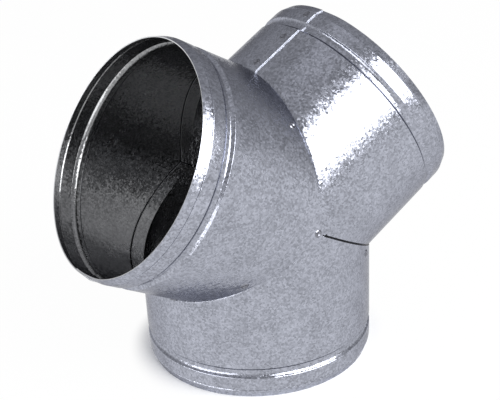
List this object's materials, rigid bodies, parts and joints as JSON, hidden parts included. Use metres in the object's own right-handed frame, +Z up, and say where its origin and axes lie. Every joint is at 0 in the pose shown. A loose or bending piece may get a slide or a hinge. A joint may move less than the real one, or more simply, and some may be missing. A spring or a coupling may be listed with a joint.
{
  "type": "duct y branch",
  "caption": "Symmetric Y branch for round ventilation duct: rolled galvanised sheet-steel necks with tapered, grooved collars, mitred and lap-welded so that a flow divides between the branches.",
  "frame": {"origin": "centre of the main neck's rim, on the plane it stands on", "axes": "+Z up along the main neck, +X towards the right branch, +Y to the back"},
  "size_m": [0.251, 0.1492, 0.2173],
  "materials": {
    "galvanised_sheet": "satin, zinc spangle"
  },
  "bodies": {
    "root": {"main_neck": "galvanised_sheet", "left_branch": "galvanised_sheet", "right_branch": "galvanised_sheet"}
  },
  "joints": []
}
